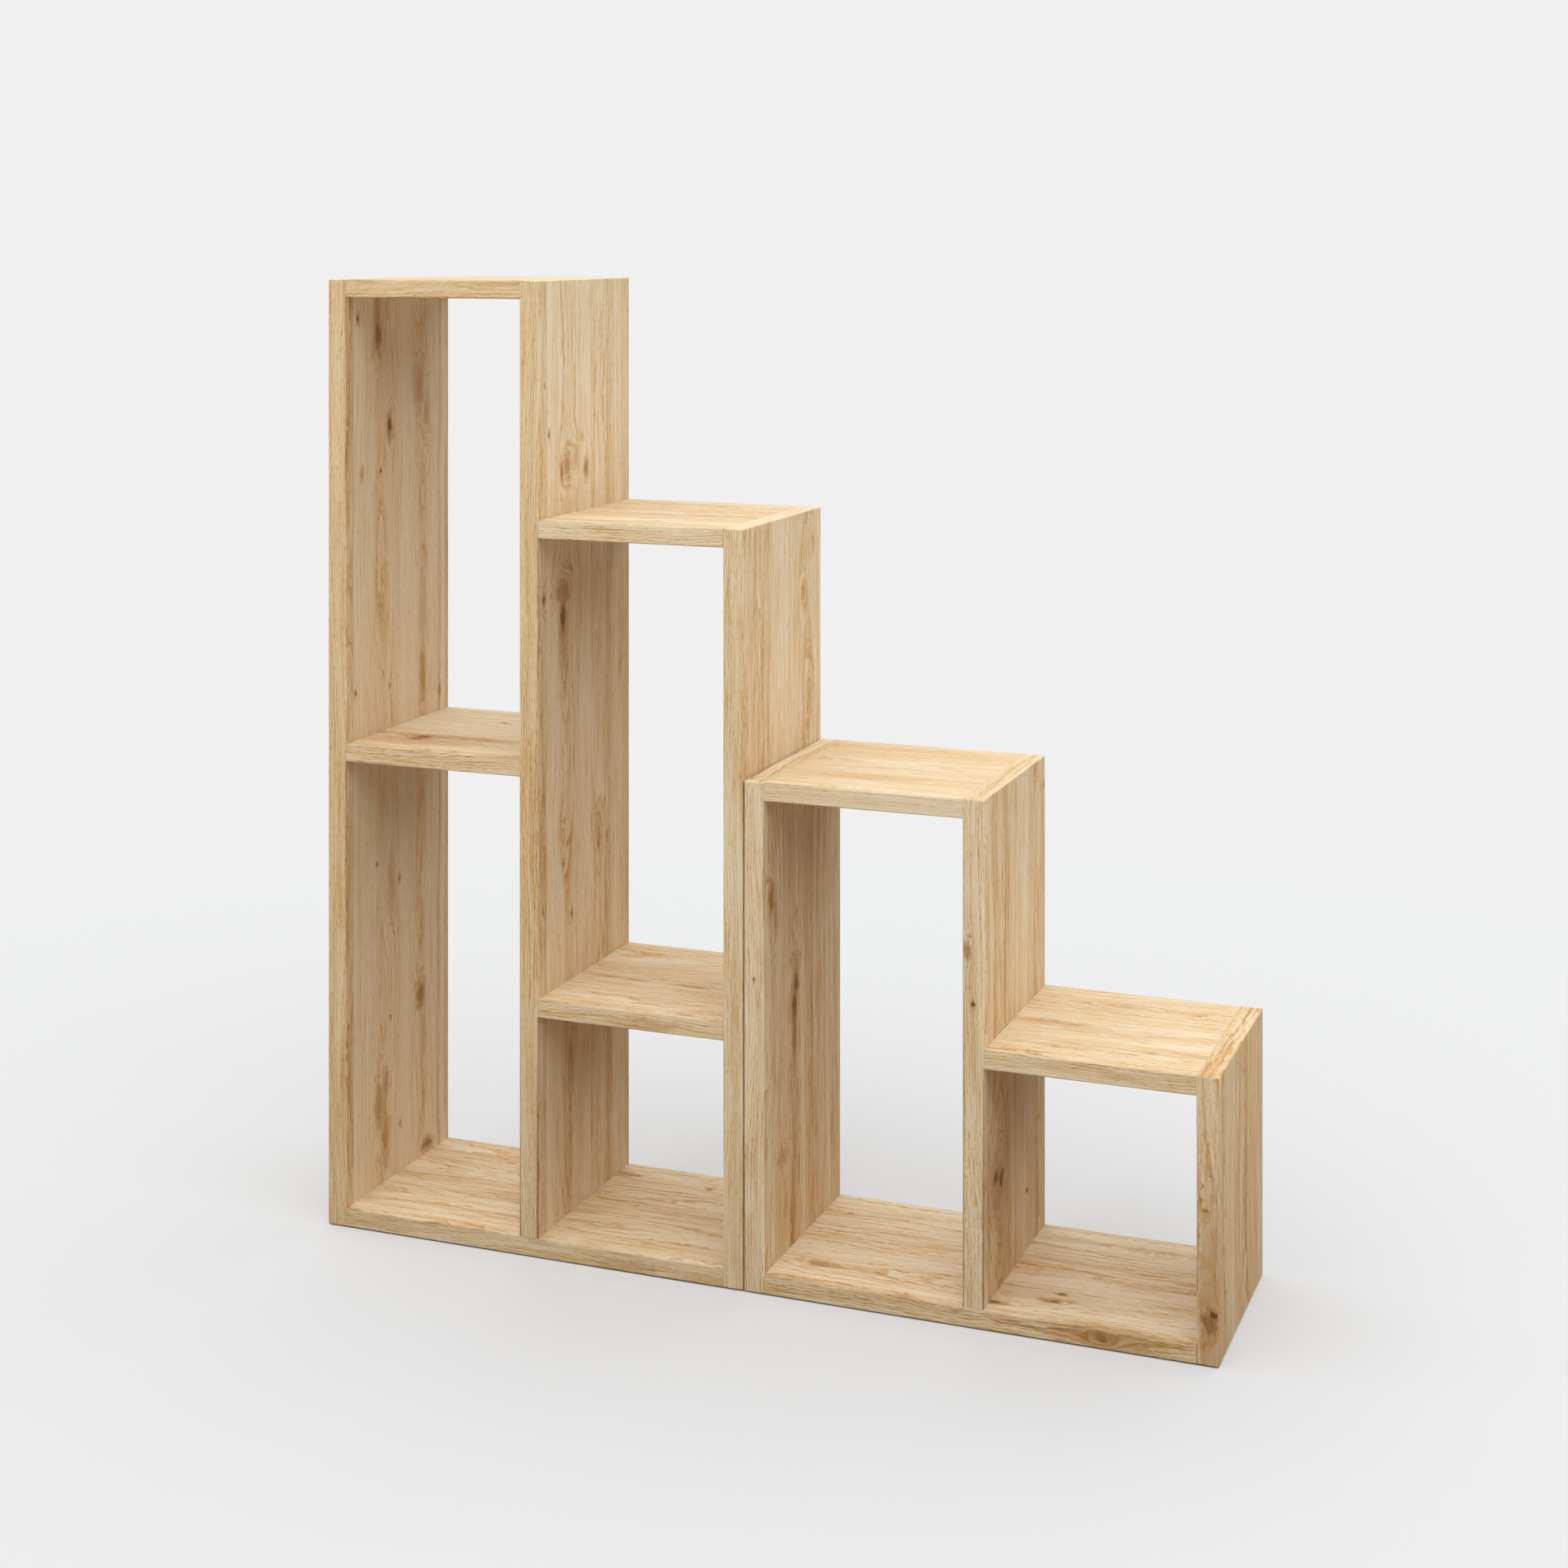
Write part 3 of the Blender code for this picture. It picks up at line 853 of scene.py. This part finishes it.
def knot_group():
    tree = bpy.data.node_groups.new("knot", "ShaderNodeTree")
    bench = Bench(tree)
    place, centre, size, brownness, darkness, shift, brown, dark = bench.inputs(
        Place="Vector", Centre="Vector", Size="Vector", Brownness="Float", Darkness="Float",
        Shift="Vector", Brown="Float", Dark="Float"
    )
    offset = bench.vector("SUBTRACT", place, centre)
    share = bench.vector("DIVIDE", offset, size)
    noise_place = bench.vector("MULTIPLY", place, KNOT_NOISE)
    noise = bench.node("ShaderNodeTexNoise", noise_place, 1.0, KNOT_NOISE_DETAIL, KNOT_NOISE_ROUGHNESS)
    ragged = bench.math("MULTIPLY_ADD", noise.outputs[0], RAGGED_GAIN, RAGGED_START)
    mottle = bench.node("ShaderNodeSeparateColor", noise.outputs["Color"]).outputs[1]
    palest = bench.math("MULTIPLY", darkness, MOTTLE_LEAST)
    mottle = bench.out("ShaderNodeMapRange", mottle, *MOTTLE_RANGE, palest, 1.0)
    halo_reach = bench.vector("LENGTH", bench.vector("DIVIDE", share, HALO_STRETCH))
    shift = bench.vector("ADD", shift, grain_bend(bench, offset, size, brownness, halo_reach))
    halo = inside(bench, bench.math("MULTIPLY", halo_reach, ragged), HALO_RIM)
    brown = bench.math("MAXIMUM", brown, bench.math("MULTIPLY", halo, brownness))
    core = inside(bench, bench.math("MULTIPLY", bench.vector("LENGTH", share), ragged), CORE_RIM)
    core = bench.math("MULTIPLY", core, mottle)
    core = bench.math("MULTIPLY", core, bench.math("POWER", darkness, CORE_POWER))
    dark = bench.math("MAXIMUM", dark, core)
    bench.outputs(Shift=("Vector", shift), Brown=("Float", brown), Dark=("Float", dark))
    return tree


KNOT = knot_group()
print("Knot group:", len(KNOT.nodes), "nodes")

# %% [markdown]
# ## The staves of each board
#
# No two boards of the stand look alike. One random rule for all would be quicker, but the stand would
# lose its own face, so the staves and knots were read off the photograph. All lengths are in
# millimetres. A stave has its width, its tone (0.5 is middling) and the place of its log's heart: across
# the board from its middle, and through it. A band is a long paler or darker zone with its depth behind
# the front, its half width and its tone. The figure of a board says how strongly its streaks and rings
# show, and how much its rings curl.

# %% Staves
STAVES = {
    "tall_left_upright": (
        (22, 0.30, -160, 45), (150, 0.90, -50, -62), (118, 0.95, 72, -48), (30, 0.80, 190, -10),
    ),
    "tall_middle_upright": (
        (28, 0.38, -155, -42), (107, 0.72, -60, 58), (45, 0.82, -200, 30), (90, 0.62, 52, -66),
        (50, 0.55, 180, -20),
    ),
    "tall_right_upright": (
        (30, 0.55, -150, 40), (75, 0.45, -95, -55), (90, 0.60, 150, 30), (125, 0.50, 102, 60),
    ),
    "tall_bottom_board": (
        (14, 0.50, -150, -45), (136, 0.58, -72, -60), (90, 0.62, 40, 70), (80, 0.58, 130, 60),
    ),
    "tall_left_shelf": (
        (14, 0.50, -150, -42), (136, 0.90, -72, -55), (170, 1.00, 80, 60),
    ),
    "tall_right_shelf": (
        (14, 0.55, -150, 40), (86, 0.75, -110, 70), (100, 0.70, -10, 52), (120, 0.70, 110, -60),
    ),
    "tall_top_board": (
        (45, 0.30, -146, 10), (65, 0.50, -110, 60), (100, 0.60, 10, -70), (110, 0.50, 100, 60),
    ),
    "tall_step_board": (
        (40, 0.60, -150, -40), (40, 0.60, -120, -70), (130, 0.50, 10, 60), (110, 0.45, 110, -50),
    ),
    "low_left_upright": (
        (75, 0.58, -152, 38), (115, 0.53, -35, -52), (130, 0.48, 190, 20),
    ),
    "low_middle_upright": (
        (18, 0.75, -150, 40), (102, 0.35, -82, 56), (35, 0.55, 150, 10), (165, 0.40, 120, -60),
    ),
    # Part of the low right upright's dark stave tone is painted shade that dims its outer right face.
    "low_right_upright": (
        (18, 0.46, -148, -8), (82, 0.20, -122, -60), (160, 0.15, 25, 62), (60, 0.20, 190, 20),
    ),
    "low_bottom_board": (
        (14, 0.30, -150, 36), (106, 0.78, -94, -50), (110, 0.76, 6, 58), (90, 0.73, 120, -60),
    ),
    "low_top_board": (
        (14, 0.95, -150, 40), (96, 0.55, -95, -70), (120, 0.65, 20, 80), (90, 0.45, 120, -60),
    ),
    "low_step_board": (
        (45, 0.55, -150, 38), (50, 0.55, -110, 60), (105, 0.50, 0, -66), (120, 0.55, 96, -50),
    ),
}
print("Staves:", sum(len(staves) for staves in STAVES.values()))

# %% Bands
BANDS = {
    "tall_left_upright": (
        (105, 35, -0.10), (178, 22, 0.18), (232, 22, -0.18),
        (288, 6, -0.20), (300, 6, 0.22), (312, 5, -0.16),
    ),
    "tall_middle_upright": (
        (40, 20, 0.08), (100, 30, -0.11), (152, 18, 0.10), (242, 18, -0.13), (276, 15, 0.11),
    ),
    "tall_right_upright": ((85, 35, -0.08), (176, 40, 0.13), (258, 35, -0.08)),
    "tall_bottom_board": ((78, 20, -0.04), (156, 16, -0.08), (198, 25, 0.10)),
    "tall_left_shelf": ((85, 40, -0.13), (190, 50, 0.11), (290, 25, -0.08)),
    "tall_right_shelf": ((146, 15, -0.06), (206, 14, -0.10), (245, 25, 0.06)),
    "tall_top_board": ((120, 40, -0.05),),
    "tall_step_board": ((30, 12, -0.06), (62, 18, 0.08), (175, 30, -0.05)),
    "low_left_upright": (
        (60, 30, -0.06), (118, 15, -0.13), (155, 18, 0.14), (190, 15, -0.10), (267, 20, 0.09),
    ),
    "low_middle_upright": ((110, 30, -0.15), (200, 40, 0.13), (270, 20, -0.08)),
    "low_right_upright": ((20, 15, -0.08), (85, 45, 0.09), (230, 45, -0.09)),
    "low_bottom_board": ((65, 18, -0.06), (115, 25, 0.12), (160, 18, -0.10), (275, 16, -0.07)),
    "low_top_board": ((76, 18, -0.05), (175, 30, 0.08), (264, 18, -0.05)),
    "low_step_board": ((73, 12, -0.06), (118, 30, 0.07), (222, 16, -0.05)),
}
print("Bands:", sum(len(bands) for bands in BANDS.values()))

# %% Figure
PLAIN_FIGURE = (1.0, 1.0)
FIGURE = {
    "tall_left_upright": (0.85, 1.0),
    "tall_bottom_board": (1.20, 1.2),
    "tall_left_shelf": (1.10, 1.2),
    "tall_right_shelf": (1.10, 1.0),
    "tall_step_board": (1.15, 1.0),
    "low_left_upright": (1.35, 1.0),
    "low_middle_upright": (1.15, 0.8),
    "low_right_upright": (1.25, 1.3),
    "low_bottom_board": (1.45, 1.5),
    "low_top_board": (0.60, 0.6),
    "low_step_board": (1.10, 1.0),
}
print("Boards with a figure of their own:", len(FIGURE))

# %% [markdown]
# ## The knots of each board
#
# A knot has its place along the board, its depth behind the front, its half length and half width, and
# how brown its halo and how dark its core is. A knot in a front edge has its place through the board
# instead of its depth. A long one whose core isn't dark stands for a brown streak in the grain.

# %% Knots
KNOTS = {
    "tall_left_upright": (
        (1335, 95, 13, 8, 0.9, 0.65), (1365, 92, 22, 7, 0.6, 0.1), (1363, 35, 4, 3.5, 0.7, 0.85),
        (1195, 131, 9, 6, 0.9, 0.9), (1253, 222, 16, 13, 0.5, 0.1), (1208, 248, 12, 7, 0.5, 0.15),
        (1126, 103, 3, 2.5, 0.5, 0.8), (1125, 47, 5, 4, 0.6, 0.3), (795, 28, 3, 3, 0.6, 0.8),
        (790, 131, 3, 3, 0.5, 0.5), (788, 235, 18, 7, 0.55, 0.15), (903, 235, 35, 9, 0.3, 0.0),
        (758, 290, 6, 3, 0.7, 0.5), (522, 92, 2.5, 2.5, 0.5, 0.7), (485, 162, 4, 3, 0.6, 0.6),
        (478, 137, 22, 9, 0.45, 0.0), (285, 228, 9, 10, 0.75, 0.6), (276, 133, 3, 3, 0.5, 0.5),
        (218, 237, 12, 4, 0.4, 0.1), (178, 120, 10, 6, 0.6, 0.1), (148, 98, 15, 8, 0.65, 0.15),
        (93, 118, 18, 8, 0.6, 0.1), (101, 163, 3, 3, 0.5, 0.4), (41, 250, 5, 12, 0.7, 0.7),
    ),
    "tall_middle_upright": (
        (1111, 79, 7, 5, 0.8, 0.5), (1119, 98, 9, 9, 0.6, 0.1), (1133, 128, 8, 6, 0.4, 0.0),
        (1109, 162, 7, 6, 0.85, 0.4), (1167, 36, 3.5, 3, 0.6, 0.6), (1241, 22, 2.5, 2.5, 0.5, 0.4),
        (1159, 148, 3, 3, 0.4, 0.3), (932, 82, 8, 17, 0.75, 0.25), (894, 83, 15, 8, 1.0, 0.75),
        (872, 83, 32, 10, 0.6, 0.0), (929, 18, 5, 4, 0.8, 0.8), (931, 43, 2.5, 2.5, 0.5, 0.5),
        (543, 208, 16, 8, 0.35, 0.0), (536, 238, 3, 2.5, 0.5, 0.5), (527, 85, 3, 2.5, 0.6, 0.7),
        (446, 112, 3.5, 3, 0.7, 0.9), (546, 14, 30, 6, 0.4, 0.0), (231, 108, 22, 9, 0.4, 0.05),
        (181, 22, 8, 3, 0.4, 0.1), (86, 108, 30, 6, 0.35, 0.0),
    ),
    "tall_right_upright": (
        (954, 244, 6, 5, 0.55, 0.15), (1024, 286, 5, 3, 0.5, 0.1), (799, 272, 7, 4, 0.5, 0.1),
        (752, 261, 3, 3, 0.4, 0.2), (804, 60, 30, 5, 0.3, 0.0),
    ),
    "low_left_upright": (
        (548, 29, 11, 8, 1.0, 0.45), (520, 46, 14, 4, 0.6, 0.05), (420, 130, 14, 8, 0.55, 0.2),
        (402, 128, 10, 8, 0.95, 0.75), (370, 122, 14, 8, 0.95, 0.75), (325, 122, 24, 6, 0.75, 0.5),
        (280, 128, 35, 4, 0.5, 0.05), (235, 138, 14, 8, 0.35, 0.1), (167, 69, 6, 12, 0.5, 0.05),
        (145, 125, 40, 6, 0.35, 0.0),
    ),
    "low_middle_upright": (
        (159, 60, 7, 10, 0.95, 0.85), (149, 86, 11, 9, 0.95, 0.85), (146, 72, 22, 26, 0.7, 0.0),
        (93, 80, 35, 12, 0.5, 0.05), (85, 220, 2, 5.5, 0.7, 1.0), (681, 262, 8, 6, 0.45, 0.05),
        (651, 308, 2, 5, 0.5, 0.4), (133, 22, 25, 10, 0.4, 0.0),
    ),
    "tall_left_shelf": (
        (83, 91, 11, 9, 0.9, 0.75), (80, 73, 9, 9, 0.85, 0.55), (120, 97, 45, 8, 0.6, 0.1),
        (95, 60, 40, 18, 0.45, 0.0), (148, 229, 5, 3, 0.7, 0.7),
    ),
    "tall_right_shelf": (
        (40, 142, 12, 4, 0.5, 0.1), (94, 138, 10, 5, 0.5, 0.1), (190, 138, 12, 5, 0.55, 0.1),
    ),
    "tall_step_board": ((110, 229, 12, 4, 0.3, 0.05),),
    "low_step_board": ((134, 256, 16, 8, 0.3, 0.0), (216, 67, 4, 2.5, 0.5, 0.4)),
    "tall_bottom_board": (
        (148, 253, 4, 3, 0.5, 0.3), (332, 277, 12, 5, 0.45, 0.1), (481, 266, 3, 3, 0.6, 0.6),
    ),
    "low_bottom_board": (
        (58, 64, 9, 7, 0.6, 0.2), (408, 88, 5, 4.5, 0.75, 0.75), (404, 61, 6, 4.5, 0.8, 0.75),
        (327, 31, 7, 5, 0.8, 0.7), (566, 178, 6, 3, 0.5, 0.2), (380, 75, 50, 16, 0.3, 0.0),
    ),
}
EDGE_KNOTS = {
    "low_left_upright": ((441, 0, 2, 2, 0.5, 0.7),),
    "low_middle_upright": (
        (485, 8.5, 6, 4, 0.8, 0.35), (414, 0, 2.6, 2.6, 0.5, 1.0), (506, 5, 1.5, 1.5, 0.6, 0.6),
    ),
    "low_right_upright": (
        (58, -3, 11, 9, 0.9, 0.6), (68, -8, 5, 4, 0.8, 1.0), (62, 8, 6, 3, 0.7, 0.6),
        (75, -3, 70, 14, 0.6, 0.0), (180, 4, 30, 8, 0.35, 0.0),
    ),
    "low_bottom_board": (
        (486, -1, 7, 4, 0.9, 0.7), (478, 1, 4, 4, 0.7, 0.5), (490, 0, 28, 12, 0.5, 0.0),
        (280, 6, 3, 2, 0.6, 0.4),
    ),
    "tall_right_shelf": ((167, -6, 18, 6, 0.4, 0.0),),
    "tall_bottom_board": ((461, -3, 20, 5, 0.4, 0.0), (325, 10, 10, 3, 0.4, 0.1)),
}
print("Knots:", sum(len(knots) for table in (KNOTS, EDGE_KNOTS) for knots in table.values()))

# %% [markdown]
# ## The finish of one board
#
# Each board has its own material, because its staves and knots are its own. Object coordinates are turned
# so that the grain runs along x. On the top of an upright it runs from front to back, as in the
# photograph. A stepped ramp over the depth of the board gives each point its stave, a smooth one gives it
# its band, and the chain of knots ends in the shared grain group.

# %% Oak finish of a board
TOP_SHARE = 0.7
SEED_STEPS = 64
BAND_WANDER = {"size": (0.35, 0.20, 0.20)}
BAND_WANDER_REACH = 0.012
KNOT_THROUGH = 0.20
EDGE_KNOT_DEPTH = 0.012
OAK_SPECULAR = 0.06
BUMP_STRENGTH = 0.35
BUMP_HEIGHT = 0.0003


def wood_place(bench, board):
    """Object coordinates turned so that the grain runs along x, centred on the board."""
    middle = board.middle
    coordinates = bench.node("ShaderNodeTexCoord").outputs["Object"]
    if not board.standing:
        return bench.out("ShaderNodeMapping", coordinates, tuple(-middle))
    quarter_turn = (0.0, math.pi / 2, 0.0)
    upward = bench.out("ShaderNodeMapping", coordinates, (-middle.z, -middle.y, middle.x), quarter_turn)
    x, y, z = bench.separate(coordinates)
    on_top = bench.combine(y, bench.math("SUBTRACT", x, middle.x), bench.math("SUBTRACT", z, board.top))
    facing_up = bench.separate(bench.node("ShaderNodeNewGeometry").outputs["Normal"])[2]
    is_top = bench.math("GREATER_THAN", facing_up, TOP_SHARE)
    return bench.out("ShaderNodeMix", is_top, upward, on_top, data_type="VECTOR")


def stave_ramp(bench, board, share, first_seed):
    """A stepped ramp over the depth of the board that holds each stave's tone, heart and seed."""
    stops = []
    start = 0.0
    for number, (width, tone, heart_across, heart_through) in enumerate(STAVES[board.name]):
        hearts = [MIDDLING + heart / MM / HEART_REACH for heart in (heart_across, heart_through)]
        stops.append((start / MM / board.depth, (tone, *hearts, (first_seed + number) / SEED_STEPS)))
        start += width
    return ramp(bench, share, stops, "CONSTANT")


def band_ramp(bench, board, place, share):
    """A smooth ramp over the depth of the board with its paler and darker bands."""
    stops = []
    for depth, half_width, tone in BANDS[board.name]:
        for stop_depth, change in ((depth - half_width, 0.0), (depth, tone), (depth + half_width, 0.0)):
            value = MIDDLING + change
            stops.append((stop_depth / MM / board.depth, (value, value, value, 1.0)))
    wander = grain_noise(bench, bench.separate(place), **BAND_WANDER)
    share = bench.math("ADD", share, centred(bench, wander, 2 * BAND_WANDER_REACH / board.depth))
    return ramp(bench, share, stops, "EASE")[0]


def board_knots(board):
    """The board's knots as (centre, size, brownness, darkness) in wood coordinates, in metres."""
    for along, depth, length, width, brownness, darkness in KNOTS.get(board.name, ()):
        centre = (along / MM - board.length / 2, depth / MM - board.depth / 2, 0.0)
        yield centre, (length / MM, width / MM, KNOT_THROUGH), brownness, darkness
    for along, through, length, width, brownness, darkness in EDGE_KNOTS.get(board.name, ()):
        centre = (along / MM - board.length / 2, -board.depth / 2, through / MM)
        yield centre, (length / MM, EDGE_KNOT_DEPTH, width / MM), brownness, darkness


def oak_finish(board, first_seed):
    material, bench, shader = new_finish(board.name + "_oak")
    place = wood_place(bench, board)
    across = bench.separate(place)[1]
    share = bench.out("ShaderNodeMapRange", across, -board.depth / 2, board.depth / 2, 0.0, 1.0)
    stave, seed = stave_ramp(bench, board, share, first_seed)
    band = band_ramp(bench, board, place, share)
    shift, brown, dark = (0.0, 0.0, 0.0), 0.0, 0.0
    for knot in board_knots(board):
        drawn = bench.node("ShaderNodeGroup", place, *knot, shift, brown, dark, node_tree=KNOT)
        shift, brown, dark = drawn.outputs
    figure = FIGURE.get(board.name, PLAIN_FIGURE)
    grain = bench.node(
        "ShaderNodeGroup", place, stave, seed, band, *figure, shift, brown, dark, node_tree=OAK_GRAIN
    )
    bench.feed(shader.inputs["Base Color"], grain.outputs["Colour"])
    bench.feed(shader.inputs["Roughness"], grain.outputs["Roughness"])
    shader.inputs["Specular IOR Level"].default_value = OAK_SPECULAR
    bump = bench.node("ShaderNodeBump", BUMP_STRENGTH, BUMP_HEIGHT)
    bench.feed(bump.inputs["Height"], grain.outputs["Height"])
    bench.feed(shader.inputs["Normal"], bump.outputs["Normal"])
    return material


print("Finish: staves, bands and knots for", len(STAVES), "boards")

# %% [markdown]
# ## The boards themselves
#
# Now each outline goes through the board tree with its own finish. Each board rides its carcass and takes
# the place of the plain board in the frame. The drills have done their work then and are taken away.

# %% Boards
seed_count = 0
for board in boards:
    finish = oak_finish(board, seed_count)
    seed_count += len(STAVES[board.name])
    piece = run_tree(
        board.name + "_oak", outlines[board.name], ROUNDED_BOARD, Front=board.front, Back=board.back,
        Edge_Radius=EDGE_RADIUS, Rounding_Steps=ROUNDING_STEPS, Drill=drills[board.body], Finish=finish
    )
    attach(piece, board.body)
    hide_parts(board.name)
    print(piece.name, len(piece.data.polygons), "faces")
for drill in drills.values():
    bpy.data.objects.remove(drill)
